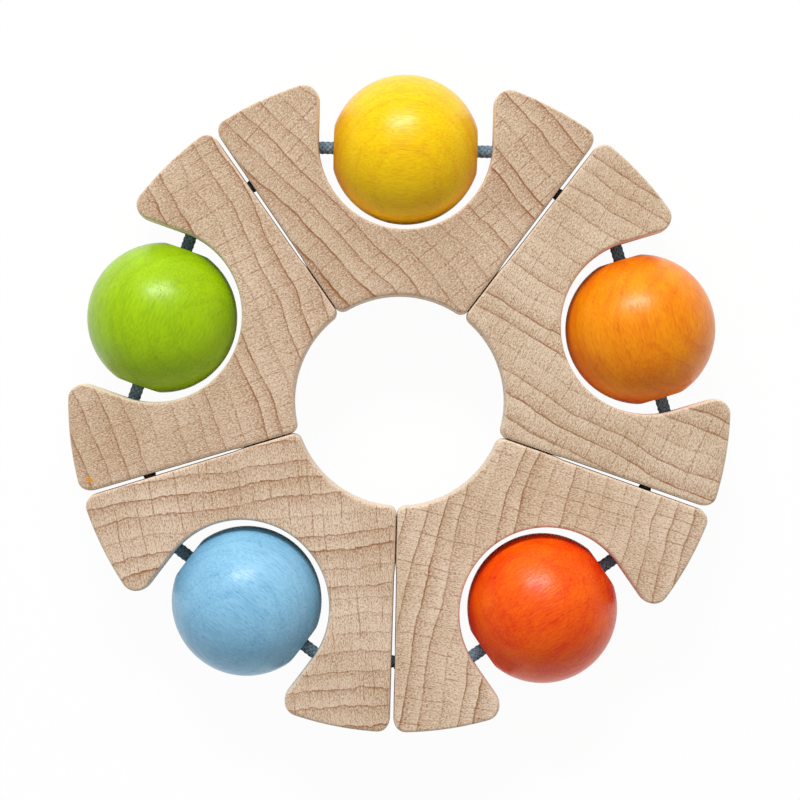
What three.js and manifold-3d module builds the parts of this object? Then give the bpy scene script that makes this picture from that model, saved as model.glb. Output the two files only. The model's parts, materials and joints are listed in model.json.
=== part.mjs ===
// Peek-a-boo roller toy: five beech segments strung into a ring on one elastic loop. Each segment has
// a U-shaped notch in its rim, and a turned ball rolls in it on the stretch of cord that crosses it.
// Millimetres, +Z up. The origin is on the ring's axis at half the board's thickness, and the yellow
// segment points along +Y. The toy lies flat and rests on its five balls.
import * as THREE from 'three';
import { mergeVertices } from 'three/addons/utils/BufferGeometryUtils.js';
import Module from 'manifold-3d';

const wasm = await Module();
wasm.setup();

// Driving dimensions: the ring of balls
const BALL_D = 25.4;
const BALL_RING_R = 42.6;       // ring's axis to each ball's centre
const BALL_MOUTH_EASE = 0.6;    // countersink at both ends of a ball's bore
const BALL_FLAT_LAND = 1.6;     // the flat left round each countersink

// Driving dimensions: the beech segments
const BOARD_T = 13;
const FINGER_HOLE_D = 35.4;     // the opening in the middle of the ring
const HORN_REACH = 13.2;        // the rim stands this far out past the ball centres
const NOTCH_SIDE_GAP = 2;       // ball to the notch's parallel walls
const NOTCH_FLOOR_GAP = 0.8;    // ball to the notch's round floor
const SEAM_GAP_INNER = 0.35;    // between neighbours at the finger hole
const SEAM_GAP_RIM = 0.85;      // between neighbours at the rim: each is cut a little under its share
const EDGE_R = 0.5;             // rounding of all the edges of both faces
const HORN_TIP_R = 2.6;
const RIM_CORNER_R = 2.1;
const INNER_CORNER_R = 1.5;

// Driving dimensions: the elastic cord and its passages
const CORD_D = 2.2;
const PASSAGE_GAP = 0.5;        // cord to the wall of its hole through a horn
const BORE_GAP = 0.4;           // cord to the wall of a ball's bore
const BEND_DEPTH = 1.75;        // the cord turns onto the ball's axis this far inside the notch wall
const BEND_R = 3.5;
const PASSAGE_EASE = 0.5;       // countersink at the mouths of a horn's hole
const CORD_LEAD = 1.5;          // straight start of a segment's own length of cord, before its bend
const CORD_JOIN_GAP = 0.3;      // between the end of one length of cord and the start of the next
const KNOT_POCKET_GAP = 0.5;    // knot to the wall and floor of the pocket that hides it
const KNOT_SQUEEZE = 0.85;      // a pulled knot draws its turns in to this share of their loose size
const KNOT_TILT = Math.PI / 7;  // slant of the knot's two turns

// Fineness of the facets
const CHORD_ERROR = 0.07;
const BALL_SIDES = 24;
const CORD_SIDES = 8;
const CORD_STEP = 2.2;
const HOLE_SIDES = 10;
const EDGE_STEPS = 2;
const OVERRUN = 1;              // how far a cutting tool runs past the face that it cuts

// Finishes. The balls' stains are in their order round the ring, clockwise from the top.
const BEECH = { color: 0xcfae8f, roughness: 0.6 };
const ELASTIC = { color: 0x5d7486, roughness: 0.85 };
const LACQUER_ROUGHNESS = 0.25;
const STAINS = { yellow: 0xf8c500, orange: 0xf08a00, red: 0xe84308, blue: 0x86b9df, green: 0x7dbd10 };
const KNOTTED = 'red';          // the segment whose pocket hides the knot

// Worked out from the driving dimensions
const COLOURS = Object.keys(STAINS);
const HALF_ANGLE = Math.PI / COLOURS.length;
const BALL_R = BALL_D / 2;
const RIM_R = BALL_RING_R + HORN_REACH;
const HOLE_R = FINGER_HOLE_D / 2;
const NOTCH_R = BALL_R + NOTCH_SIDE_GAP;
const NOTCH_FLOOR_Y = BALL_RING_R - BALL_R - NOTCH_FLOOR_GAP;
const NOTCH_Y = NOTCH_FLOOR_Y + NOTCH_R;
const CORD_R = CORD_D / 2;
const PASSAGE_R = CORD_R + PASSAGE_GAP;
const BORE_R = CORD_R + BORE_GAP;
const KNOT_TURN_R = KNOT_SQUEEZE * CORD_D;
const KNOT_TURN_SHIFT = KNOT_SQUEEZE * CORD_R;
const KNOT_HALF = KNOT_TURN_SHIFT + KNOT_TURN_R * Math.sin(KNOT_TILT) + CORD_R;
const POCKET_R = KNOT_TURN_R + CORD_R + KNOT_POCKET_GAP;
const POCKET_DEPTH = 2 * KNOT_HALF + 2 * KNOT_POCKET_GAP;

// The right-hand seam of a segment that points along +Y: the direction along it, away from the axis,
// and the direction of the cord that crosses it squarely.
const SEAM_ALONG = new THREE.Vector2(Math.sin(HALF_ANGLE), Math.cos(HALF_ANGLE));
const SEAM_ACROSS = new THREE.Vector3(Math.cos(HALF_ANGLE), -Math.sin(HALF_ANGLE), 0);
const BEND_CORNER = new THREE.Vector3(NOTCH_R + BEND_DEPTH, BALL_RING_R, 0);
const PASSAGE_RUN = -BEND_CORNER.dot(SEAM_ACROSS);
const SEAM_CROSSING = BEND_CORNER.clone().addScaledVector(SEAM_ACROSS, PASSAGE_RUN);
const BEND_RUN = BEND_R * Math.tan(HALF_ANGLE / 2);
const CORD_START = PASSAGE_RUN - BEND_RUN - CORD_LEAD;
const CORD_REACH = CORD_START - CORD_JOIN_GAP;

/** The point in the other half of a segment. */
function mirrored(point) {
  return point.clone().setX(-point.x);
}

/** A point on the line of the right-hand cord hole, measured out from the seam that it crosses. */
function pastSeam(distance) {
  return SEAM_CROSSING.clone().addScaledVector(SEAM_ACROSS, distance);
}

/** Points along an arc, with as many chords as keep it within the chord error. */
function arc(centre, radius, from, to, clockwise = false) {
  const turn = clockwise ? from - to : to - from;
  const angle = THREE.MathUtils.euclideanModulo(turn, 2 * Math.PI);
  const step = 2 * Math.acos(1 - Math.min(CHORD_ERROR / radius, 1));
  return new THREE.EllipseCurve(centre.x, centre.y, radius, radius, from, to, clockwise)
    .getPoints(Math.max(2, Math.ceil(angle / step)));
}

/**
 * A segment's outline. The right half runs from the middle of the finger hole's arc out along the
 * seam face, back along the rim to the horn's tip and down the notch to its floor. The left half is
 * its mirror image.
 */
function segmentOutline() {
  const axis = new THREE.Vector2();
  const intoWood = new THREE.Vector2(-SEAM_ALONG.y, SEAM_ALONG.x);
  const faceInner = SEAM_ALONG.clone().multiplyScalar(HOLE_R).addScaledVector(intoWood, SEAM_GAP_INNER / 2);
  const faceOuter = SEAM_ALONG.clone().multiplyScalar(RIM_R).addScaledVector(intoWood, SEAM_GAP_RIM / 2);
  const face = faceOuter.clone().sub(faceInner).normalize();
  const faceNormal = new THREE.Vector2(-face.y, face.x);
  const faceAngle = faceNormal.clone().negate().angle();

  // The centre of a corner's rounding: its radius inside the seam face, at a distance from the axis.
  const cornerCentre = (radius, distance) => {
    const start = faceInner.clone().addScaledVector(faceNormal, radius);
    const foot = start.dot(face);
    const run = Math.sqrt(distance ** 2 - start.lengthSq() + foot ** 2) - foot;
    return start.addScaledVector(face, run);
  };
  const innerCorner = cornerCentre(INNER_CORNER_R, HOLE_R + INNER_CORNER_R);
  const rimCorner = cornerCentre(RIM_CORNER_R, RIM_R - RIM_CORNER_R);
  const tipX = NOTCH_R + HORN_TIP_R;
  const tip = new THREE.Vector2(tipX, Math.sqrt((RIM_R - HORN_TIP_R) ** 2 - tipX ** 2));

  const right = [
    ...arc(axis, HOLE_R, Math.PI / 2, innerCorner.angle(), true).slice(0, -1),
    ...arc(innerCorner, INNER_CORNER_R, innerCorner.angle() + Math.PI, faceAngle),
    ...arc(rimCorner, RIM_CORNER_R, faceAngle, rimCorner.angle()),
    ...arc(axis, RIM_R, rimCorner.angle(), tip.angle()).slice(1, -1),
    ...arc(tip, HORN_TIP_R, tip.angle(), Math.PI),
    ...arc(new THREE.Vector2(0, NOTCH_Y), NOTCH_R, 0, -Math.PI / 2, true),
  ];
  const left = right.slice(1, -1).reverse().map(mirrored);
  return new THREE.Shape([...right, ...left]);
}

/** A closed geometry as a solid that can be cut and joined. */
function solid(geometry) {
  const bare = geometry.clone();
  bare.deleteAttribute('normal');
  bare.deleteAttribute('uv');
  const welded = mergeVertices(bare);
  return new wasm.Manifold(new wasm.Mesh({
    numProp: 3,
    vertProperties: new Float32Array(welded.attributes.position.array),
    triVerts: new Uint32Array(welded.index.array),
  }));
}

/** A solid back as a geometry. */
function geometryOf(body) {
  const mesh = body.getMesh();
  const geometry = new THREE.BufferGeometry();
  geometry.setAttribute('position', new THREE.BufferAttribute(mesh.vertProperties, 3));
  geometry.setIndex(new THREE.BufferAttribute(mesh.triVerts, 1));
  geometry.computeVertexNormals();
  return geometry;
}

/** A round rod, drill or countersink between two points. */
function rod(from, to, fromRadius, toRadius, sides) {
  const run = to.clone().sub(from);
  const up = new THREE.Vector3(0, 1, 0);
  const turn = new THREE.Quaternion().setFromUnitVectors(up, run.clone().normalize());
  return new THREE.CylinderGeometry(toRadius, fromRadius, run.length(), sides)
    .applyQuaternion(turn)
    .translate(...from.clone().addScaledVector(run, 0.5).toArray());
}

/** A drill that runs from a point inside the wood out through a mouth, and its countersink there. */
function drill(inside, mouth, direction) {
  const outside = mouth.clone().addScaledVector(direction, OVERRUN);
  const easeStart = mouth.clone().addScaledVector(direction, -PASSAGE_EASE);
  return [
    [inside, outside, PASSAGE_R, PASSAGE_R],
    [easeStart, outside, PASSAGE_R, PASSAGE_R + PASSAGE_EASE + OVERRUN],
  ];
}

/**
 * The right-hand horn's drills: one square to the seam, which meets a short one from the notch along
 * the ball's axis. Each runs past the corner where they meet, so that the bend has room outside.
 */
function hornDrills() {
  const toNotch = new THREE.Vector3(-1, 0, 0);
  const pastCorner = PASSAGE_R * Math.tan(HALF_ANGLE / 2);
  const seamEnd = BEND_CORNER.clone().addScaledVector(SEAM_ACROSS, -pastCorner);
  const notchEnd = BEND_CORNER.clone().addScaledVector(toNotch, -pastCorner);
  const faceShare = (SEAM_CROSSING.length() - HOLE_R) / (RIM_R - HOLE_R);
  const seamGap = THREE.MathUtils.lerp(SEAM_GAP_INNER, SEAM_GAP_RIM, faceShare);
  return [
    ...drill(seamEnd, pastSeam(-seamGap / 2), SEAM_ACROSS),
    ...drill(notchEnd, new THREE.Vector3(NOTCH_R, BALL_RING_R, 0), toNotch),
  ];
}

/** The pocket in a seam face that hides the knot. */
function knotPocket() {
  return rod(pastSeam(-POCKET_DEPTH), pastSeam(OVERRUN), POCKET_R, POCKET_R, HOLE_SIDES);
}

/** A beech segment: its outline through the board with rounded edges, less the cord's two holes. */
function segmentGeometry(knotted) {
  const depth = BOARD_T - 2 * EDGE_R;
  const block = new THREE.ExtrudeGeometry(segmentOutline(), {
    depth,
    bevelThickness: EDGE_R,
    bevelSize: EDGE_R,
    bevelOffset: -EDGE_R,
    bevelSegments: EDGE_STEPS,
  }).translate(0, 0, -depth / 2);

  let body = solid(block);
  for (const [from, to, fromRadius, toRadius] of hornDrills()) {
    body = body.subtract(solid(rod(from, to, fromRadius, toRadius, HOLE_SIDES)));
    body = body.subtract(solid(rod(mirrored(from), mirrored(to), fromRadius, toRadius, HOLE_SIDES)));
  }
  if (knotted) body = body.subtract(solid(knotPocket()));
  return geometryOf(body);
}

/** A turned ball about the Y axis: flat at both poles, bored through for the cord. */
function ballGeometry() {
  const mouthR = BORE_R + BALL_MOUTH_EASE;
  const poleAngle = Math.acos((mouthR + BALL_FLAT_LAND) / BALL_R);
  const halfWidth = BALL_R * Math.sin(poleAngle);
  const neck = halfWidth - BALL_MOUTH_EASE;
  const profile = [
    new THREE.Vector2(BORE_R, -neck),
    new THREE.Vector2(mouthR, -halfWidth),
    ...arc(new THREE.Vector2(), BALL_R, -poleAngle, poleAngle),
    new THREE.Vector2(mouthR, halfWidth),
    new THREE.Vector2(BORE_R, neck),
    new THREE.Vector2(BORE_R, -neck),
  ];
  return new THREE.LatheGeometry(profile, BALL_SIDES);
}

/** A straight or bent route: lines between its points, with every corner rounded to the bend radius. */
function cordPath(points) {
  const path = new THREE.CurvePath();
  let from = points[0];
  for (let i = 1; i < points.length - 1; i++) {
    const corner = points[i];
    const before = points[i - 1].clone().sub(corner).setLength(BEND_RUN).add(corner);
    const after = points[i + 1].clone().sub(corner).setLength(BEND_RUN).add(corner);
    path.add(new THREE.LineCurve3(from, before));
    path.add(new THREE.QuadraticBezierCurve3(before, corner, after));
    from = after;
  }
  path.add(new THREE.LineCurve3(from, points.at(-1)));
  return path;
}

/**
 * A segment's length of the elastic. It starts inside the left horn, where the last length ends,
 * crosses the notch through the ball and the right horn, and reaches into the next segment's hole.
 * Before the knot it stops short of the knot instead.
 */
function cordGeometry(knotted) {
  const knotEnd = -POCKET_DEPTH - CORD_JOIN_GAP;
  const path = cordPath([
    mirrored(pastSeam(-CORD_START)),
    mirrored(BEND_CORNER),
    BEND_CORNER,
    pastSeam(knotted ? knotEnd : CORD_REACH),
  ]);
  const section = new THREE.Shape(
    new THREE.EllipseCurve(0, 0, CORD_R, CORD_R).getPoints(CORD_SIDES).slice(0, -1),
  );
  const steps = Math.ceil(path.getLength() / CORD_STEP);
  return new THREE.ExtrudeGeometry(section, { extrudePath: path, steps, curveSegments: 1 });
}

/** The knot that closes the loop: two slanted turns round the cord, whose end runs on over the seam. */
function knotGeometry() {
  const core = rod(pastSeam(-POCKET_DEPTH), pastSeam(CORD_REACH), CORD_R, CORD_R, CORD_SIDES);
  let knot = solid(core);
  for (const side of [-1, 1]) {
    const centre = pastSeam(-POCKET_DEPTH / 2 + side * KNOT_TURN_SHIFT);
    const turn = new THREE.TorusGeometry(KNOT_TURN_R, CORD_R, CORD_SIDES, HOLE_SIDES)
      .rotateY(Math.PI / 2)
      .rotateZ(-HALF_ANGLE + side * KNOT_TILT)
      .translate(...centre.toArray());
    knot = knot.add(solid(turn));
  }
  return geometryOf(knot);
}

/** A named piece with its own finish. */
function piece(name, geometry, finish) {
  const mesh = new THREE.Mesh(geometry, new THREE.MeshStandardMaterial({ ...finish, metalness: 0 }));
  mesh.name = name;
  return mesh;
}

/** One fifth of the toy, pointing along +Y: a segment, its ball and its length of the cord. */
function unit(colour) {
  const knotted = colour === KNOTTED;
  const group = new THREE.Group();
  const lacquer = { color: STAINS[colour], roughness: LACQUER_ROUGHNESS };
  const ball = piece(`ball_${colour}`, ballGeometry(), lacquer);
  ball.position.y = BALL_RING_R;
  ball.rotation.z = -Math.PI / 2;
  group.add(
    piece(`segment_${colour}`, segmentGeometry(knotted), BEECH),
    ball,
    piece(`cord_${colour}`, cordGeometry(knotted), ELASTIC),
  );
  if (knotted) group.add(piece('cord_knot', knotGeometry(), ELASTIC));
  return group;
}

const toy = new THREE.Group();
COLOURS.forEach((colour, place) => {
  const part = unit(colour);
  part.rotation.z = -2 * HALF_ANGLE * place;
  toy.add(part);
});

export default toy;
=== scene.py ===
"""Looks of the peek-a-boo roller toy: five beech segments strung into a ring on a braided elastic loop,
each with a stained and lacquered ball that rolls in its notch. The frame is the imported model's: metres,
+Z up, the ring's axis along Z and the yellow segment along +Y. Shapes are worked out in millimetres for
one fifth of the ring, the unit that points along +Y, and each unit's pieces are turned into place."""
import json
import math

import bpy
import numpy as np
from mathutils import Matrix, Vector


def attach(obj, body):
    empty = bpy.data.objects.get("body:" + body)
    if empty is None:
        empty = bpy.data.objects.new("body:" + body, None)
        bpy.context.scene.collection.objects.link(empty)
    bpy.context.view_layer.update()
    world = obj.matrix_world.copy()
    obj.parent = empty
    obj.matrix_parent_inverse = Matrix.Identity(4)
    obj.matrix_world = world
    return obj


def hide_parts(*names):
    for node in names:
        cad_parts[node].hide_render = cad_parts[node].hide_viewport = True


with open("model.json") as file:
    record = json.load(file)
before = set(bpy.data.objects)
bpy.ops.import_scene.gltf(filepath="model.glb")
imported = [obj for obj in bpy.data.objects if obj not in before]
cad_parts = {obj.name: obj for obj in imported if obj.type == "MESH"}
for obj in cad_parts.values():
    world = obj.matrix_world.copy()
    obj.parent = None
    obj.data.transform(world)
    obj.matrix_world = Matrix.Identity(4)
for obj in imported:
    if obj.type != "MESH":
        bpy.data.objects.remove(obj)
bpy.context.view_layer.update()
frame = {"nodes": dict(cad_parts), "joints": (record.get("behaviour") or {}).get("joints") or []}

MM = 0.001
COLOURS = ("yellow", "orange", "red", "blue", "green")     # clockwise, from +Y
KNOTTED = "red"
HALF_ANGLE = math.pi / len(COLOURS)


def node_points(node):
    """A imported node's corners, in millimetres."""
    vertices = frame["nodes"][node].data.vertices
    points = np.empty(3 * len(vertices))
    vertices.foreach_get("co", points)
    return points.reshape(-1, 3) / MM


def unit_turn(colour):
    """The angle about Z that turns the unit from +Y to its place: one fifth of a turn for each place."""
    return -2 * HALF_ANGLE * COLOURS.index(colour)


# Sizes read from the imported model, in millimetres
BALL_CENTRE = np.array(next(j for j in frame["joints"] if j["name"] == "yellow_ball_roll")["pos_m"]) / MM
BALL_RING_R = BALL_CENTRE[1]
BALL_R = np.linalg.norm(node_points("ball_yellow") - BALL_CENTRE, axis=1).max()
SEGMENT_REACH = np.hypot(*node_points("segment_yellow")[:, :2].T)
HOLE_R = SEGMENT_REACH.min()
RIM_R = SEGMENT_REACH.max()
BOARD_HALF = node_points("segment_yellow")[:, 2].max()
CORD_R = node_points("cord_yellow")[:, 2].max()

# Sizes of the beech segments
NOTCH_SIDE_GAP = 2.0
NOTCH_FLOOR_GAP = 0.8
SEAM_CLOSED_GAP = 0.004    # between neighbours' faces at half their height, near the finger hole
SEAM_CLOSED_R = 27.5       # the faces lie close up to this distance from the ring's axis
SEAM_OPEN_GAP = 0.32
SEAM_OPEN_R = 29.5         # and from here they stand apart, to the rim
SEAM_RIM_GAP = 0.6
WALL_CROWN = 0.16          # how far the sanded walls stand out at half their height
EDGE_R = 0.5
HORN_TIP_R = 2.6
RIM_CORNER_R = 2.1
INNER_CORNER_R = 1.5
NOTCH_R = BALL_R + NOTCH_SIDE_GAP
NOTCH_Y = BALL_RING_R - BALL_R - NOTCH_FLOOR_GAP + NOTCH_R

# Sizes of the balls
BALL_HALF_WIDTH = 12.15
BALL_FLAT_EASE = 0.3
BORE_GAP = 0.4
BORE_EASE = 0.6            # width and depth of the countersink
MOUTH_RIM = 0.2            # the countersink's rim is softened this far out on the flat
MOUTH_RIM_DROP = 0.04
MOUTH_THROAT = 0.1         # and its throat this far round its corner
MOUTH_THROAT_RISE = 0.06

# Sizes of the cord, its passages and its knot
PASSAGE_GAP = 0.5
PASSAGE_EASE = 0.5
BEND_DEPTH = 1.75
BEND_R = 3.5
CORD_LEAD = 1.5
CORD_JOIN_GAP = 0.3
KNOT_SQUEEZE = 0.85        # the turns lie closer to the cord's line than round cords would
KNOT_TURNS = 2
KNOT_PACK = 0.92           # and closer to each other
KNOT_END_R = 0.55          # radius at the knot's ends, as a share of its turns'
KNOT_END_RISE = 5          # the ends draw in over one fifth of the knot
POCKET_GAP = 0.5
BRAID_STRANDS = 6          # strands that wind each way
BRAID_PITCH = 5.4
BRAID_LIFT = 0.09          # how far a strand rises over the one that it crosses
STRAND_HALF_WIDTH = 0.30
STRAND_HALF_THICKNESS = 0.13
CORE_MARK = 2.0            # stands in the attribute across for the core

# Fineness of the meshes, and the run of a cutting tool past the face that it cuts
OUTLINE_STEP = 0.3
EDGE_STEPS = 9
WALL_STEPS = 7
FACE_BORDER = 0.35
BALL_SIDES = 160
BALL_ARC_STEPS = 121
BALL_RIM_STEPS = 6
BEND_STEPS = 12
KNOT_STEPS = 60            # in each turn
TUBE_SIDES = 28
TUBE_STEP = 0.35
STRAND_SIDES = 6
STRAND_STEP = 0.11
OVERRUN = 0.8
SHARP_ANGLE = math.radians(38)

# The cord's route through the right-hand horn: it leaves the ball along X, bends and crosses the seam
# squarely.
SEAM_ALONG = np.array([math.sin(HALF_ANGLE), math.cos(HALF_ANGLE)])
SEAM_ACROSS = np.array([math.cos(HALF_ANGLE), -math.sin(HALF_ANGLE), 0.0])
BEND_CORNER = np.array([NOTCH_R + BEND_DEPTH, BALL_RING_R, 0.0])
PASSAGE_RUN = -BEND_CORNER @ SEAM_ACROSS
SEAM_CROSSING = BEND_CORNER + PASSAGE_RUN * SEAM_ACROSS
BEND_RUN = BEND_R * math.tan(HALF_ANGLE / 2)
CORD_START = PASSAGE_RUN - BEND_RUN - CORD_LEAD
CORD_REACH = CORD_START - CORD_JOIN_GAP
PASSAGE_R = CORD_R + PASSAGE_GAP
KNOT_TURN_R = 2 * CORD_R * KNOT_SQUEEZE
POCKET_R = KNOT_TURN_R + CORD_R + POCKET_GAP
POCKET_DEPTH = 2 * (2 * CORD_R + POCKET_GAP) + CORD_R


# Meshes

def grid_quads(rows, columns, wrap_rows=False, wrap_columns=True):
    """The corner numbers of the quads between the neighbouring points of a grid."""
    i, j = np.meshgrid(
        np.arange(rows if wrap_rows else rows - 1),
        np.arange(columns if wrap_columns else columns - 1),
        indexing="ij",
    )
    below = (i + 1) % rows
    beside = (j + 1) % columns
    corners = [i * columns + j, below * columns + j, below * columns + beside, i * columns + beside]
    return np.stack(corners, axis=-1).reshape(-1, 4)


def new_object(name, points, faces):
    """An object at the origin whose mesh has these points, in millimetres, and faces."""
    mesh = bpy.data.meshes.new(name)
    mesh.from_pydata(points.reshape(-1, 3).tolist(), [], faces)
    mesh.validate()
    made = bpy.data.objects.new(name, mesh)
    bpy.context.scene.collection.objects.link(made)
    return made


def to_place(piece, colour):
    """Turns a piece's mesh from the unit at +Y to its own unit, and from millimetres to metres."""
    turn = Matrix.Rotation(unit_turn(colour), 4, "Z")
    piece.data.transform(Matrix.Scale(MM, 4) @ turn)
    piece.data.shade_smooth()
    piece.data.set_sharp_from_angle(angle=SHARP_ANGLE)
    return piece


def mirrored(points):
    """The same points in the other half of the unit."""
    return np.asarray(points) * np.array([-1, 1, 1])[: np.shape(points)[-1]]


def past_seam(distance):
    """A point on the line of the right-hand cord passage, measured out from the seam that it crosses."""
    return SEAM_CROSSING + distance * SEAM_ACROSS


def arc(centre, radius, start, end):
    """Points on a circle from one angle to another, about OUTLINE_STEP apart."""
    count = max(3, math.ceil(abs(end - start) * radius / OUTLINE_STEP) + 1)
    angle = np.linspace(start, end, count)
    return np.asarray(centre) + radius * np.stack([np.cos(angle), np.sin(angle)], axis=-1)


def evenly(points, step, closed=False):
    """The same line with its points a step apart: each coordinate is read off at equal lengths along it."""
    if closed:
        points = np.vstack([points, points[:1]])
    length = np.concatenate([[0], np.cumsum(np.linalg.norm(np.diff(points, axis=0), axis=1))])
    count = max(2, round(length[-1] / step))
    at = np.linspace(0, length[-1], count + 1)
    if closed:
        at = at[:-1]
    return np.stack([np.interp(at, length, column) for column in points.T], axis=-1)


def segment_outline():
    """A segment's outline, counter-clockwise. The right half runs from the finger hole's arc out along the
    seam face, round the rim's corner, along the rim to the horn's tip and down the notch to its floor.
    Every corner is an arc that touches both its sides. The seam face is set back from the seam by half
    the gap: little near the finger hole, and more from a step further out. The left half is the right
    half's mirror image."""
    into_wood = np.array([-SEAM_ALONG[1], SEAM_ALONG[0]])
    face = [distance * SEAM_ALONG + gap / 2 * into_wood for distance, gap in (
        (HOLE_R, SEAM_CLOSED_GAP),
        (SEAM_CLOSED_R, SEAM_CLOSED_GAP),
        (SEAM_OPEN_R, SEAM_OPEN_GAP),
        (RIM_R, SEAM_RIM_GAP),
    )]

    def corner(from_point, to_point, radius, distance):
        """A corner's arc: its centre, a radius inside the face and at a distance from the ring's axis, and
        the angle at which it meets the face."""
        way = (to_point - from_point) / np.linalg.norm(to_point - from_point)
        normal = np.array([-way[1], way[0]])
        start = from_point + radius * normal
        foot = start @ way
        centre = start + (math.sqrt(distance ** 2 - start @ start + foot ** 2) - foot) * way
        return centre, math.atan2(-normal[1], -normal[0])

    inner, inner_face = corner(face[0], face[1], INNER_CORNER_R, HOLE_R + INNER_CORNER_R)
    rim, rim_face = corner(face[2], face[3], RIM_CORNER_R, RIM_R - RIM_CORNER_R)
    tip_x = NOTCH_R + HORN_TIP_R
    tip = np.array([tip_x, math.sqrt((RIM_R - HORN_TIP_R) ** 2 - tip_x ** 2)])
    inner_angle, rim_angle, tip_angle = (math.atan2(p[1], p[0]) for p in (inner, rim, tip))
    right = np.vstack([
        arc((0, 0), HOLE_R, math.pi / 2, inner_angle)[:-1],
        arc(inner, INNER_CORNER_R, inner_angle - math.pi, inner_face),
        *face[1:3],
        arc(rim, RIM_CORNER_R, rim_face, rim_angle),
        arc((0, 0), RIM_R, rim_angle, tip_angle)[1:-1],
        arc(tip, HORN_TIP_R, tip_angle, math.pi),
        arc((0, NOTCH_Y), NOTCH_R, 0, -math.pi / 2),
    ])
    return evenly(np.vstack([right, mirrored(right[1:-1])[::-1]]), OUTLINE_STEP, closed=True)


def board_section():
    """The board's edge from top to bottom as (inset, height): the border of the top face, a quarter round,
    the wall, a quarter round and the border of the bottom face. The wall's inset grows with the square of
    its height from the middle."""
    turn = np.linspace(0, math.pi / 2, EDGE_STEPS)
    top_round = np.stack([EDGE_R * (1 - np.sin(turn)), BOARD_HALF - EDGE_R * (1 - np.cos(turn))], axis=-1)
    top = np.vstack([[EDGE_R + FACE_BORDER, BOARD_HALF], top_round]) + (WALL_CROWN, 0)
    share = np.linspace(1, -1, WALL_STEPS + 2)[1:-1]
    wall = np.stack([WALL_CROWN * share ** 2, (BOARD_HALF - EDGE_R) * share], axis=-1)
    return np.vstack([top, wall, top[::-1] * (1, -1)])


def segment_block():
    """The uncut segment: the board's edge section carried round the outline, each point moved in from the
    outline along its normal by the section's inset, and a flat face inside the first and the last row."""
    outline = segment_outline()
    along = np.roll(outline, -1, axis=0) - np.roll(outline, 1, axis=0)
    along /= np.linalg.norm(along, axis=1, keepdims=True)
    outward = np.stack([along[:, 1], -along[:, 0]], axis=-1)
    section = board_section()
    rows, columns = len(section), len(outline)
    points = np.empty((rows, columns, 3))
    points[..., :2] = outline - section[:, :1, None] * outward
    points[..., 2] = section[:, 1:]
    top_face = list(range(columns))
    bottom_face = list(range(rows * columns - 1, (rows - 1) * columns - 1, -1))
    return new_object("block", points, grid_quads(rows, columns).tolist() + [top_face, bottom_face])


def rounded_route(corners):
    """A route of straight runs whose corners are rounded by a parabola that starts and ends BEND_RUN from
    the corner: (1-t)^2 of its start, 2t(1-t) of the corner and t^2 of its end."""
    t = np.linspace(0, 1, BEND_STEPS)[:, None]
    runs = [corners[:1]]
    for before, corner, after in zip(corners[:-2], corners[1:-1], corners[2:]):
        start = corner + BEND_RUN * (before - corner) / np.linalg.norm(before - corner)
        end = corner + BEND_RUN * (after - corner) / np.linalg.norm(after - corner)
        runs.append((1 - t) ** 2 * start + 2 * t * (1 - t) * corner + t ** 2 * end)
    return np.vstack([*runs, corners[-1:]])


def route_axes(route, hint):
    """At each point of a route two directions square to it and to each other. The first is the hint, less
    the part of it that lies along the route."""
    ahead = np.gradient(route, axis=0)
    ahead /= np.linalg.norm(ahead, axis=1, keepdims=True)
    side = hint - np.sum(hint * ahead, axis=1, keepdims=True) * ahead
    side /= np.linalg.norm(side, axis=1, keepdims=True)
    return side, np.cross(ahead, side)


def tube_grid(route, hint, radius, sides):
    """A round tube: at each point of the route a circle square to it, with one radius or its own."""
    side, up = route_axes(route, hint)
    turn = np.linspace(0, 2 * math.pi, sides, endpoint=False)
    ring = np.cos(turn)[:, None] * side[:, None] + np.sin(turn)[:, None] * up[:, None]
    return route[:, None] + np.reshape(radius, (-1, 1, 1)) * ring


def capped_faces(rows, columns):
    """The quads of a tube's grid and its two end faces."""
    ends = [list(range(columns)), list(range(rows * columns - 1, (rows - 1) * columns - 1, -1))]
    return grid_quads(rows, columns)[:, ::-1].tolist() + [ends[0][::-1], ends[1][::-1]]


def flat_hint(route):
    """The upward direction at every point of a route that lies level."""
    return np.tile([0.0, 0.0, 1.0], (len(route), 1))


def passage_cutter(side):
    """The tool that cuts a horn's cord passage: a tube along the cord's route from the seam to the notch.
    Its radius grows by the depth into each mouth's chamfer, so that both mouths are eased."""
    corners = np.array([
        past_seam(OVERRUN),
        BEND_CORNER,
        [NOTCH_R - OVERRUN, BALL_RING_R, 0],
    ])
    route = evenly(rounded_route(corners if side > 0 else mirrored(corners)), TUBE_STEP)
    length = np.linspace(0, TUBE_STEP * (len(route) - 1), len(route))
    to_end = np.minimum(length, length[-1] - length)
    radius = PASSAGE_R + np.clip(OVERRUN + PASSAGE_EASE - to_end, 0, None)
    points = tube_grid(route, flat_hint(route), radius, TUBE_SIDES)
    return new_object("passage_cutter", points, capped_faces(*points.shape[:2]))


def pocket_cutter():
    """The tool that cuts the knot's pocket: a straight round tube, square to the right-hand seam."""
    route = evenly(np.array([past_seam(-POCKET_DEPTH), past_seam(OVERRUN)]), TUBE_STEP)
    points = tube_grid(route, flat_hint(route), POCKET_R, TUBE_SIDES)
    return new_object("pocket_cutter", points, capped_faces(*points.shape[:2]))


def cut(block, cutters):
    """The block's mesh less the cutters. The block and the cutters are removed."""
    for cutter in cutters:
        hole = block.modifiers.new(cutter.name, "BOOLEAN")
        hole.operation = "DIFFERENCE"
        hole.solver = "EXACT"
        hole.object = cutter
    shape = block.evaluated_get(bpy.context.evaluated_depsgraph_get())
    mesh = bpy.data.meshes.new_from_object(shape)
    for tool in [block, *cutters]:
        bpy.data.objects.remove(tool)
    return mesh


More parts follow.
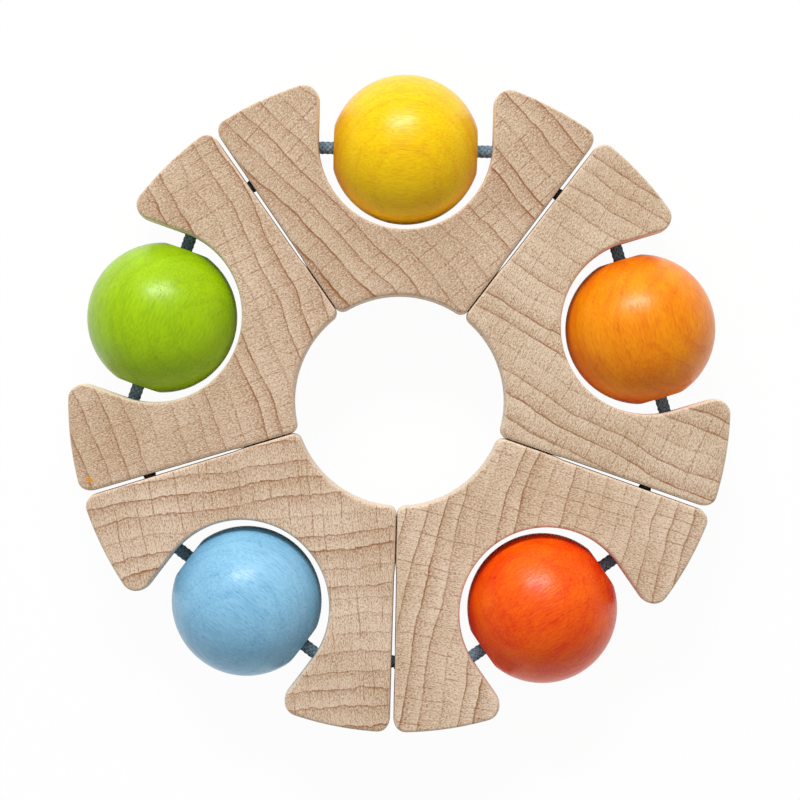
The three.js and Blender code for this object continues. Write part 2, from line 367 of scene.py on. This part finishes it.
def ball_profile():
    """Half a ball's section through its axis as (distance from the axis, place along it), a closed loop:
    the bore, its countersink, the flat with an eased rim, the sphere, and the same back to the bore."""
    bore = CORD_R + BORE_GAP
    flat = math.sqrt(BALL_R ** 2 - BALL_HALF_WIDTH ** 2)
    pole = math.asin(BALL_HALF_WIDTH / BALL_R) - BALL_FLAT_EASE / BALL_R
    angle = np.linspace(-pole, pole, BALL_ARC_STEPS)
    sphere = BALL_R * np.stack([np.cos(angle), np.sin(angle)], axis=-1)
    rim_start, rim_corner = sphere[-1], np.array([flat, BALL_HALF_WIDTH])
    rim_end = rim_corner - (BALL_FLAT_EASE, 0)
    t = np.linspace(0, 1, BALL_RIM_STEPS)[1:, None]
    rim = (1 - t) ** 2 * rim_start + 2 * t * (1 - t) * rim_corner + t ** 2 * rim_end
    mouth = np.array([
        [bore + BORE_EASE + MOUTH_RIM, BALL_HALF_WIDTH],
        [bore + BORE_EASE, BALL_HALF_WIDTH - MOUTH_RIM_DROP],
        [bore + MOUTH_THROAT, BALL_HALF_WIDTH - BORE_EASE + MOUTH_THROAT_RISE],
        [bore, BALL_HALF_WIDTH - BORE_EASE - MOUTH_THROAT],
        [bore, BALL_HALF_WIDTH / 2],
    ])
    end = np.vstack([rim, mouth])
    return np.vstack([(end * (1, -1))[::-1], sphere, end])


def ball_mesh(name):
    """A turned ball: its profile swung round the line through its centre along X."""
    profile = ball_profile()
    turn = np.linspace(0, 2 * math.pi, BALL_SIDES, endpoint=False)
    points = np.empty((len(profile), BALL_SIDES, 3))
    points[..., 0] = profile[:, 1:]
    points[..., 1] = profile[:, :1] * np.cos(turn) + BALL_RING_R
    points[..., 2] = profile[:, :1] * np.sin(turn)
    return new_object(name, points, grid_quads(len(profile), BALL_SIDES, wrap_rows=True)[:, ::-1].tolist())


def braid(name, route, hint):
    """A braided cord along a route: the same number of strands winds each way round it. A strand's angle
    grows in step with the length along the route, and its distance from the route rises and falls by a
    cosine, against that of the strands which wind the other way, so that they pass over and under each
    other. Each strand's section is an ellipse laid flat on the cord. A round core fills the middle.
    The attributes along and across give each point's length along the cord and its place across its
    strand, from -1 to 1, and on the core across is CORE_MARK."""
    route = evenly(route, STRAND_STEP)
    steps = len(route)
    side, up = route_axes(route, hint(route))
    along = np.linspace(0, STRAND_STEP * (steps - 1), steps)
    strand = np.arange(2 * BRAID_STRANDS)[:, None]
    way = 1 - 2 * (strand % 2)
    angle = 2 * math.pi * (way * along / BRAID_PITCH + strand // 2 / BRAID_STRANDS)
    lift = BRAID_LIFT * way * np.cos(2 * math.pi * BRAID_STRANDS * along / BRAID_PITCH)
    middle = CORD_R - BRAID_LIFT - STRAND_HALF_THICKNESS
    outward = np.cos(angle)[..., None] * side + np.sin(angle)[..., None] * up
    centre = route + (middle + lift)[..., None] * outward
    forward = np.gradient(centre, axis=1)
    forward /= np.linalg.norm(forward, axis=-1, keepdims=True)
    sideways = np.cross(forward, outward)
    turn = np.linspace(0, 2 * math.pi, STRAND_SIDES, endpoint=False)[:, None]
    points = (
        centre[:, :, None]
        + STRAND_HALF_THICKNESS * np.cos(turn) * outward[:, :, None]
        + STRAND_HALF_WIDTH * np.sin(turn) * sideways[:, :, None]
    )
    core = tube_grid(route, hint(route), middle, STRAND_SIDES)
    tubes = np.concatenate([points, core[None]])
    one_tube = capped_faces(steps, STRAND_SIDES)
    size = steps * STRAND_SIDES
    faces = [[corner + size * tube for corner in face] for tube in range(len(tubes)) for face in one_tube]
    made = new_object(name, tubes, faces)
    across = np.broadcast_to(np.sin(turn[:, 0]), points.shape[:3])
    across = np.concatenate([across, np.full((1, steps, STRAND_SIDES), CORE_MARK)])
    lengths = np.broadcast_to(along[:, None], across.shape)
    for title, values in (("along", lengths), ("across", across)):
        layer = made.data.attributes.new(title, "FLOAT", "POINT")
        layer.data.foreach_set("value", values.astype(np.float32).ravel())
    return made


def cord_route(knotted):
    """The route of a unit's length of cord: from inside the left horn through the ball and the right horn
    into the next segment, or on the knotted unit to just short of the knot."""
    return rounded_route(np.array([
        mirrored(past_seam(-CORD_START)),
        mirrored(BEND_CORNER),
        BEND_CORNER,
        past_seam(-POCKET_DEPTH - CORD_JOIN_GAP if knotted else CORD_REACH),
    ]))


def knot_route():
    """The knot's turns: a helix about the cord's line whose ends draw in towards the line."""
    turn = np.linspace(0, 2 * math.pi * KNOT_TURNS, KNOT_STEPS * KNOT_TURNS)
    share = turn / turn[-1]
    spread = np.clip(np.minimum(share, 1 - share) * KNOT_END_RISE, 0, 1)
    radius = KNOT_TURN_R * (KNOT_END_R + (1 - KNOT_END_R) * spread)
    middle = past_seam(-POCKET_DEPTH / 2)
    length = 2 * CORD_R * KNOT_PACK * KNOT_TURNS
    up = np.array([0.0, 0.0, 1.0])
    level = np.cross(up, SEAM_ACROSS)
    swing = radius[:, None] * (np.cos(turn)[:, None] * level + np.sin(turn)[:, None] * up)
    return middle + length * (share - 0.5)[:, None] * SEAM_ACROSS + swing


def away_from_cord_line(route):
    """At each point of a route the direction away from the line that crosses the right-hand seam."""
    offset = route - SEAM_CROSSING
    return offset - (offset @ SEAM_ACROSS)[:, None] * SEAM_ACROSS


# Materials

def linear(red, green, blue):
    """An sRGB colour, from 0 to 255, as the linear colour that a shader takes."""
    share = np.array([red, green, blue]) / 255
    value = np.where(share <= 0.04045, share / 12.92, ((share + 0.055) / 1.055) ** 2.4)
    return (*value.tolist(), 1.0)


class Signal:
    """An output socket in a node tree. Arithmetic on signals and numbers adds Math nodes, and make adds
    any other node: first its settings, then the values or links of its sockets."""

    def __init__(self, tree, socket=None):
        self.tree = tree
        self.socket = socket

    def make(self, kind, settings=None, sockets=None, out=0):
        node = self.tree.nodes.new(kind)
        for setting, value in (settings or {}).items():
            setattr(node, setting, value)
        for name, value in (sockets or {}).items():
            if isinstance(value, Signal):
                self.tree.links.new(value.socket, node.inputs[name])
            else:
                node.inputs[name].default_value = value
        return Signal(self.tree, node.outputs[out] if node.outputs else None)

    def math(self, operation, *values):
        return self.make("ShaderNodeMath", {"operation": operation}, dict(enumerate(values)))

    def __add__(self, other):
        return self.math("ADD", self, other)

    def __sub__(self, other):
        return self.math("SUBTRACT", self, other)

    def __rsub__(self, other):
        return self.math("SUBTRACT", other, self)

    def __mul__(self, other):
        return self.math("MULTIPLY", self, other)

    def __truediv__(self, other):
        return self.math("DIVIDE", self, other)

    def __pow__(self, other):
        return self.math("POWER", self, other)

    __radd__ = __add__
    __rmul__ = __mul__

    def smooth(self, low, high):
        """0 below low and 1 above high, with an S-shaped rise, or a fall if high is the lower."""
        values = {"Value": self, "From Min": low, "From Max": high}
        return self.make("ShaderNodeMapRange", {"interpolation_type": "SMOOTHSTEP"}, values)

    def blend(self, first, second):
        """The first of two colours where this value is 0, the second where it is 1."""
        return self.make("ShaderNodeMix", {"data_type": "RGBA"}, {0: self, 6: first, 7: second}, out=2)

    def mixed(self, other, share):
        """This colour, with that share of another."""
        return share.blend(self, other)

    def parts(self):
        """The three coordinates of a vector."""
        return [self.make("ShaderNodeSeparateXYZ", None, {0: self}, out=axis) for axis in range(3)]

    def stretched(self, *size):
        """A vector in units of these lengths along its three axes."""
        return self.make("ShaderNodeVectorMath", {"operation": "DIVIDE"}, {0: self, 1: size})

    def noise(self, detail=2.0, roughness=0.5):
        """Cloudy noise of about unit size at this vector, around 0.5."""
        return self.make("ShaderNodeTexNoise", None,
                         {"Vector": self, "Scale": 1.0, "Detail": detail, "Roughness": roughness})

    def line_noise(self):
        """Noise along this one value."""
        return self.make("ShaderNodeTexNoise", {"noise_dimensions": "1D"},
                         {"W": self, "Scale": 1.0, "Detail": 1.0})

    def chance(self):
        """A random number for each whole value."""
        return self.make("ShaderNodeTexWhiteNoise", {"noise_dimensions": "1D"}, {"W": self})

    def splits(self):
        """The distance along this value to the nearest of irregular marks about one apart."""
        return self.make("ShaderNodeTexVoronoi",
                         {"voronoi_dimensions": "1D", "feature": "DISTANCE_TO_EDGE"},
                         {"W": self, "Scale": 1.0})


def new_material(name):
    """A material with an empty node tree, and the tree's first signal."""
    material = bpy.data.materials.new(name)
    material.use_nodes = True
    material.node_tree.nodes.clear()
    return material, Signal(material.node_tree)


def unit_place(graph, colour, origin):
    """Object coordinates in millimetres in the unit's own frame, measured from an origin there."""
    place = graph.make("ShaderNodeTexCoord", out="Object")
    return graph.make("ShaderNodeMapping", {"vector_type": "POINT"}, {
        "Vector": place,
        "Location": tuple(-c for c in origin),
        "Rotation": (0, 0, -unit_turn(colour)),
        "Scale": (1 / MM,) * 3,
    })


def surface(graph, **sockets):
    """The material's Principled shader with these sockets, linked to its output."""
    named = {name.replace("_", " "): value for name, value in sockets.items()}
    shader = graph.make("ShaderNodeBsdfPrincipled", None, named)
    graph.make("ShaderNodeOutputMaterial", None, {"Surface": shader})


def bump(graph, height, distance, strength):
    """A normal from a height of 0 to 1 that stands for that distance in millimetres."""
    return graph.make("ShaderNodeBump", None,
                      {"Height": height, "Distance": distance * MM, "Strength": strength})


# How each segment is cut from the trunk: its pith in the unit's frame and the mean width of its rings, in
# millimetres; how wavy the rings are, how dark they are and how strong the rays are, as shares of one;
# then its tint, and on one segment the place of a fleck of ball stain.
CUTS = {
    "yellow": {
        "pith": (-236, -196), "ring": 3.3, "wave": 0.7, "dark": 1.25, "rays": 1.3,
        "tint": (197, 173, 146),
    },
    "orange": {
        "pith": (-186, 226), "ring": 3.2, "wave": 0.75, "dark": 0.9, "rays": 0.9,
        "tint": (211, 190, 165),
    },
    "red": {
        "pith": (-178, 238), "ring": 3.1, "wave": 0.75, "dark": 0.88, "rays": 1.0,
        "tint": (219, 197, 172),
    },
    "blue": {
        "pith": (-192, 232), "ring": 3.0, "wave": 1.5, "dark": 0.95, "rays": 1.1,
        "tint": (215, 192, 168),
    },
    "green": {
        "pith": (-182, 221), "ring": 3.4, "wave": 0.9, "dark": 1.0, "rays": 1.0,
        "tint": (204, 180, 154), "fleck": (-29.7, 44.7),
    },
}
LATEWOOD = linear(172, 132, 100)
RING_LINE = linear(136, 82, 40)
RAY = linear(158, 111, 72)
PORE = linear(142, 102, 70)
PALE_GRAIN = linear(234, 215, 193)
# Paler side grain, made paler still as painted light for the light thrown up onto the walls from below
SIDE_GRAIN_AND_PAINTED_LIGHT = linear(248, 231, 209)
FLECK = linear(216, 142, 0)
PALE_TONE = 1.045                    # the palest patches of a segment, as a share of its tint
DEEP_TONE = (0.945, 0.915, 0.875)    # and the deepest, for red, green and blue

# The sizes of the beech's pattern, in millimetres: two across the grain, then one along the trunk
RING_SWAY = 3.0
RING_SWAY_SIZE = (15, 15, 120)
RING_JOG = 0.7
RING_JOG_SIZE = (1.5, 1.5, 40)
RING_DRIFT = 0.9                     # how far the years run ahead of an even count, in years
RING_DRIFT_SIZE = 7.5
LINE_BREAK_SIZE = (4, 4, 60)
BLOTCH_SIZE = (0.8, 0.8, 9)
TONE_SIZE = (13, 13, 60)
FLECK_SIZE = (0.45, 0.8)
RAY_SWAY = 0.7
RAY_SWAY_SIZE = (4, 4, 30)
RAY_SPACING = 2.1
FINE_RAY_SPACING = 0.62
RAY_BREAK_SIZE = (5.5, 1.5, 3.2)     # outward from the pith, round it and along the trunk
GRAIN_SIZE = (0.36, 0.17, 3.5)       # in the same order
BEECH_RELIEF = 0.03

# Parts of a year: where its last line sets in and where it ends, and how late the wood darkens
LINE_START = (0.87, 0.96)
LINE_END = (1.0, 0.985)
LATE_POWER = 1.6


def beech(colour):
    """Beech cut across the grain. Its years are the distance from the pith over the ring width, moved by
    noise; the part of a year past its whole number darkens slowly, ends in a thin line and starts again
    pale. Rays are irregular marks along the angle round the pith, broken up by noise. Pores are fine
    noise, drawn out a little along the rays and far along Z, the way the trunk grew. The side walls and
    the eased edges are paler: partly the side grain's own colour, and partly painted light standing in
    for the light thrown up onto them from below."""
    cut_from = CUTS[colour]
    material, graph = new_material("beech_" + colour)
    pith_x, pith_y = cut_from["pith"]
    place = unit_place(graph, colour, (pith_x, pith_y, 0))
    x, y, z = place.parts()
    distance = math.hypot(pith_x, BALL_RING_R - pith_y)

    sway = place.stretched(*RING_SWAY_SIZE).noise() - 0.5
    jog = place.stretched(*RING_JOG_SIZE).noise(3.0, 0.6) - 0.5
    outward = (x * x + y * y) ** 0.5 + RING_SWAY * sway + RING_JOG * cut_from["wave"] * jog - distance
    years = outward / cut_from["ring"] + RING_DRIFT * (outward / RING_DRIFT_SIZE).line_noise()
    season = years.math("FRACT", years)
    vigour = years.math("FLOOR", years).chance()
    blotch = place.stretched(*BLOTCH_SIZE).noise(2.0)
    along_line = place.stretched(*LINE_BREAK_SIZE).noise().smooth(0.3, 0.6)
    strength = cut_from["dark"] * (0.3 + 0.7 * vigour) * (0.4 + 0.6 * along_line)
    late = cut_from["dark"] * season ** LATE_POWER * (0.12 + 0.95 * vigour) * (0.4 + 0.9 * blotch)
    line = season.smooth(*LINE_START) * season.smooth(*LINE_END) * strength

    ray_sway = place.stretched(*RAY_SWAY_SIZE).noise() - 0.5
    round_pith = y.math("ARCTAN2", y, x) * distance + RAY_SWAY * ray_sway

    def in_trunk(size):
        """The place outward from the pith, round it and along the trunk, in units of these lengths."""
        parts = {axis: part / size[axis] for axis, part in enumerate((outward, round_pith, z))}
        return graph.make("ShaderNodeCombineXYZ", None, parts)

    broken = in_trunk(RAY_BREAK_SIZE).noise(1.0)
    grain = in_trunk(GRAIN_SIZE).noise(1.0, 0.6)
    rays = (round_pith / RAY_SPACING).splits().smooth(0.075, 0.025) * broken.smooth(0.45, 0.6)
    fine_rays = (round_pith / FINE_RAY_SPACING).splits().smooth(0.24, 0.04) * broken.smooth(0.62, 0.38)
    tone = place.stretched(*TONE_SIZE).noise(3.0).smooth(0.3, 0.7)

    tint = cut_from["tint"]
    pale = linear(*(min(255, round(c * PALE_TONE)) for c in tint))
    deep = linear(*(round(c * share) for c, share in zip(tint, DEEP_TONE)))
    wood = tone.blend(pale, deep)
    wood = wood.mixed(LATEWOOD, late)
    wood = wood.mixed(RAY, (rays * 0.75 + fine_rays * 0.3) * cut_from["rays"])
    wood = wood.mixed(PORE, grain.smooth(0.46, 0.76) * (0.6 + 0.4 * season))
    wood = wood.mixed(PALE_GRAIN, grain.smooth(0.54, 0.26) * 0.7)
    wood = wood.mixed(RING_LINE, line * 0.9)

    facing = graph.make("ShaderNodeTexCoord", out="Normal").parts()[2]
    flatness = facing * facing
    # Paler where the surface turns away from straight up: partly side grain, partly painted light on the
    # walls and eased edges
    wood = wood.mixed(SIDE_GRAIN_AND_PAINTED_LIGHT, 0.8 * (1 - flatness) ** 1.5)
    if "fleck" in cut_from:
        fleck_x, fleck_y = cut_from["fleck"]
        beside = (x - (fleck_x - pith_x)) / FLECK_SIZE[0]
        above = (y - (fleck_y - pith_y)) / FLECK_SIZE[1]
        ragged = beside ** 2 + above ** 2 + 1.6 * blotch
        on_top = facing.smooth(0.5, 0.9) * ragged.smooth(1.7, 1.2)
        wood = wood.mixed(FLECK, 0.95 * on_top)
    surface(
        graph,
        Base_Color=wood,
        Roughness=0.56 + 0.12 * grain,
        Specular_IOR_Level=0.32,
        Normal=bump(graph, grain * 0.6 - 0.5 * line, BEECH_RELIEF, 0.6),
    )
    return material


# The balls' stains: pale where the wood takes little, deep where it drinks; how patchy the stain is, how
# dark its fibres are and how rough the lacquer lies; and the way to the pith.
STAINS = {
    "yellow": {
        "pale": (247, 207, 0), "deep": (222, 140, 0),
        "patchy": 0.22, "fibres": 0.35, "relief": 0.6, "pith": (0.57, -0.82),
    },
    "orange": {
        "pale": (250, 153, 0), "deep": (216, 84, 0),
        "patchy": 0.38, "fibres": 0.3, "relief": 0.6, "pith": (-0.80, -0.60),
    },
    "red": {
        "pale": (255, 104, 0), "deep": (226, 18, 0),
        "patchy": 0.45, "fibres": 0.35, "relief": 2.0, "pith": (0.35, -0.94),
    },
    "blue": {
        "pale": (146, 202, 233), "deep": (94, 156, 198),
        "patchy": 0.22, "fibres": 0.5, "relief": 1.0, "pith": (-0.50, -0.87),
    },
    "green": {
        "pale": (164, 206, 0), "deep": (126, 160, 0),
        "patchy": 0.3, "fibres": 0.35, "relief": 0.5, "pith": (0.70, -0.71),
    },
}

# The sizes of the balls' pattern, in millimetres: one along the bore, then two across it
PITH_DISTANCE = 24
BALL_RING_WIDTH = 2.3
BALL_RING_SWAY = 1.6
BALL_RING_SWAY_SIZE = (22, 7, 7)
BALL_RING_DRIFT = 1.1                # in years
BALL_RING_DRIFT_SIZE = 4
FIBRE_SIZE = (2.4, 0.2, 0.2)
CLOUD_SIZE = (9, 4, 4)
MOTTLE_SIZE = (1.3, 0.32, 0.32)
END_GRAIN = (8.5, 12.2)              # the stain deepens between these distances along the bore
LACQUER_RELIEF = 0.045


def lacquer(colour):
    """Stained wood under gloss lacquer. The fibres run along the bore: short dark strokes are noise drawn
    out along it, the rings are the distance from a line beside the ball, and end grain near the two
    flats drinks more stain."""
    stain = STAINS[colour]
    material, graph = new_material("lacquer_" + colour)
    place = unit_place(graph, colour, (0, BALL_RING_R, 0))
    x, y, z = place.parts()
    pith_y, pith_z = (PITH_DISTANCE * c for c in stain["pith"])
    sway = place.stretched(*BALL_RING_SWAY_SIZE).noise() - 0.5
    outward = ((y - pith_y) ** 2 + (z - pith_z) ** 2) ** 0.5 + BALL_RING_SWAY * sway
    drift = (outward / BALL_RING_DRIFT_SIZE).line_noise()
    years = outward / BALL_RING_WIDTH + BALL_RING_DRIFT * drift
    season = years.math("FRACT", years)
    ring = season.smooth(0.55, 0.97) * season.smooth(1.0, 0.975)
    fibres = place.stretched(*FIBRE_SIZE).noise(2.0).smooth(0.5, 0.74)
    clouds = place.stretched(*CLOUD_SIZE).noise().smooth(0.28, 0.72)
    mottle = place.stretched(*MOTTLE_SIZE).noise(2.0)
    end_grain = x.math("ABSOLUTE", x).smooth(*END_GRAIN)
    taken = stain["patchy"] * clouds + stain["fibres"] * fibres + 0.3 * mottle.smooth(0.3, 0.7)
    depth = taken + 0.14 * ring + 0.4 * end_grain - 0.11
    height = stain["relief"] * mottle - 0.6 * fibres - 0.2 * ring
    surface(
        graph,
        Base_Color=depth.blend(linear(*stain["pale"]), linear(*stain["deep"])),
        Roughness=0.32 + 0.1 * fibres,
        Specular_IOR_Level=0.26,
        Coat_Weight=0.2,
        Coat_IOR=1.3,
        Coat_Roughness=0.2,
        Normal=bump(graph, height, LACQUER_RELIEF, 0.7),
    )
    return material


YARN_PALE = linear(142, 168, 184)
YARN_DARK = linear(84, 106, 121)
# Nearly black: painted shade where the core shows in the gaps between the strands
CORE_PAINTED_SHADE = linear(38, 42, 46)
FILAMENT_LENGTH = 1.1
FILAMENTS = 4.5                      # in half a strand's width
YARN_RELIEF = 0.05


def elastic():
    """Braided elastic: slate-blue strands with fine filaments along them, over a core coloured nearly
    black, which paints shade into the gaps between the strands.
    """
    material, graph = new_material("elastic_braid")
    along = graph.make("ShaderNodeAttribute", {"attribute_name": "along"}, out="Fac")
    across = graph.make("ShaderNodeAttribute", {"attribute_name": "across"}, out="Fac")
    on_strand = {0: along / FILAMENT_LENGTH, 1: across * FILAMENTS, 2: 0.0}
    filament = graph.make("ShaderNodeCombineXYZ", None, on_strand).noise(2.0)
    yarn = filament.smooth(0.35, 0.65).blend(YARN_DARK, YARN_PALE)
    core = across.smooth(0.6 * CORE_MARK, 0.8 * CORE_MARK)
    surface(
        graph,
        # The core's near-black colour is painted shade in the gaps between the strands
        Base_Color=yarn.mixed(CORE_PAINTED_SHADE, core),
        Roughness=0.78,
        Specular_IOR_Level=0.25,
        Normal=bump(graph, filament, YARN_RELIEF, 0.7),
    )
    return material


# The toy

def fit(piece, node, body, material):
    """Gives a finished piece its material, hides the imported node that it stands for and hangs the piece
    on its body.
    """
    piece.data.materials.clear()
    piece.data.materials.append(material)
    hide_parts(node)
    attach(piece, body)


def segment(colour):
    """A beech segment with its two cord passages, and the knot's pocket on the knotted one."""
    cutters = [passage_cutter(-1), passage_cutter(1)]
    if colour == KNOTTED:
        cutters.append(pocket_cutter())
    made = bpy.data.objects.new(colour + "_beech", cut(segment_block(), cutters))
    bpy.context.scene.collection.objects.link(made)
    return to_place(made, colour)


def build_toy():
    """Every piece of the toy, in its place and on its body."""
    yarn = elastic()
    for colour in COLOURS:
        body = colour + "_segment"
        fit(segment(colour), "segment_" + colour, body, beech(colour))
        ball = to_place(ball_mesh(colour + "_lacquered_ball"), colour)
        fit(ball, "ball_" + colour, colour + "_ball", lacquer(colour))
        cord = braid(colour + "_braided_cord", cord_route(colour == KNOTTED), flat_hint)
        fit(to_place(cord, colour), "cord_" + colour, body, yarn)
    straight = braid("knot_end", np.array([past_seam(-POCKET_DEPTH), past_seam(CORD_REACH)]), flat_hint)
    turns = braid("knot_turns", knot_route(), away_from_cord_line)
    with bpy.context.temp_override(active_object=straight, selected_editable_objects=[straight, turns]):
        bpy.ops.object.join()
    straight.name = "braided_knot"
    fit(to_place(straight, KNOTTED), "cord_knot", KNOTTED + "_segment", yarn)


# The picture: camera, floor and light

PICTURE = 800                        # pixels across and down
PIXEL = 0.1695                       # millimetres of the ring's middle plane in one pixel
RING_CENTRE_PIXEL = (399.4, 401.1)
PICTURE_TURN = math.radians(1.4)     # the toy lies turned clockwise by this much
CAMERA_HEIGHT = 650                  # millimetres above that plane
SENSOR = 36
FLOOR_HALF = 3.0                     # metres, as the lamp's sizes are
FLOOR_WHITE_SHARE = 0.96
WHITE = (1, 1, 1, 1)
MATT_WHITE = (0.9, 0.9, 0.9, 1)
KEY_WAY = (-0.10, 0.68, 0.73)        # towards the key light, from the highlights on the balls
KEY_DISTANCE = 0.9
KEY_SIZE = (0.54, 0.19)
KEY_POWER = 7.6
SKY_STRENGTH = 0.4


def camera():
    """Straight above the ring, moved and rolled so that the ring lies in the picture as photographed."""
    lens = bpy.data.cameras.new("camera")
    lens.sensor_width = SENSOR
    lens.lens = SENSOR * CAMERA_HEIGHT / (PICTURE * PIXEL)
    made = bpy.data.objects.new("camera", lens)
    right = (PICTURE / 2 - RING_CENTRE_PIXEL[0]) * PIXEL * MM
    up = (RING_CENTRE_PIXEL[1] - PICTURE / 2) * PIXEL * MM
    made.location = (
        right * math.cos(PICTURE_TURN) - up * math.sin(PICTURE_TURN),
        right * math.sin(PICTURE_TURN) + up * math.cos(PICTURE_TURN),
        CAMERA_HEIGHT * MM,
    )
    made.rotation_euler = (0, 0, PICTURE_TURN)
    bpy.context.scene.collection.objects.link(made)
    bpy.context.scene.camera = made


def seen_white(graph):
    """1 for rays that come from the camera, a reflection or a clear surface."""
    kinds = ("Is Camera Ray", "Is Glossy Ray", "Is Transmission Ray")
    camera_ray, glossy_ray, clear_ray = (graph.make("ShaderNodeLightPath", out=kind) for kind in kinds)
    return graph.math("MINIMUM", camera_ray + glossy_ray + clear_ray, 1.0)


def floor():
    """A white sheet under the balls: mostly plain white to the camera, and a matt white that takes the
    toy's shadow and throws light back up."""
    corner = FLOOR_HALF / MM
    height = -BALL_R
    points = np.array([
        [-corner, -corner, height],
        [corner, -corner, height],
        [corner, corner, height],
        [-corner, corner, height],
    ])
    made = new_object("floor", points, [[0, 1, 2, 3]])
    made.data.transform(Matrix.Scale(MM, 4))
    material, graph = new_material("white_sheet")
    matt = graph.make("ShaderNodeBsdfDiffuse", None, {"Color": MATT_WHITE})
    white = graph.make("ShaderNodeEmission", None, {"Color": WHITE, "Strength": 1.0})
    share = seen_white(graph) * FLOOR_WHITE_SHARE
    sheet = graph.make("ShaderNodeMixShader", None, {0: share, 1: matt, 2: white})
    graph.make("ShaderNodeOutputMaterial", None, {"Surface": sheet})
    made.data.materials.append(material)


def lights():
    """An even sky, and a key light where the highlights on the balls place it."""
    world = bpy.data.worlds.new("sky")
    bpy.context.scene.world = world
    world.use_nodes = True
    world.node_tree.nodes.clear()
    graph = Signal(world.node_tree)
    sky = graph.make("ShaderNodeBackground", None, {"Color": WHITE, "Strength": SKY_STRENGTH})
    graph.make("ShaderNodeOutputWorld", None, {"Surface": sky})
    light = bpy.data.lights.new("key", "AREA")
    light.shape = "RECTANGLE"
    light.size, light.size_y = KEY_SIZE
    light.energy = KEY_POWER
    lamp = bpy.data.objects.new("key", light)
    towards = Vector(KEY_WAY).normalized()
    lamp.location = towards * KEY_DISTANCE
    lamp.rotation_mode = "QUATERNION"
    lamp.rotation_quaternion = towards.to_track_quat("Z", "Y")
    bpy.context.scene.collection.objects.link(lamp)


build_toy()
camera()
floor()
lights()
bpy.context.scene.view_settings.view_transform = "Standard"
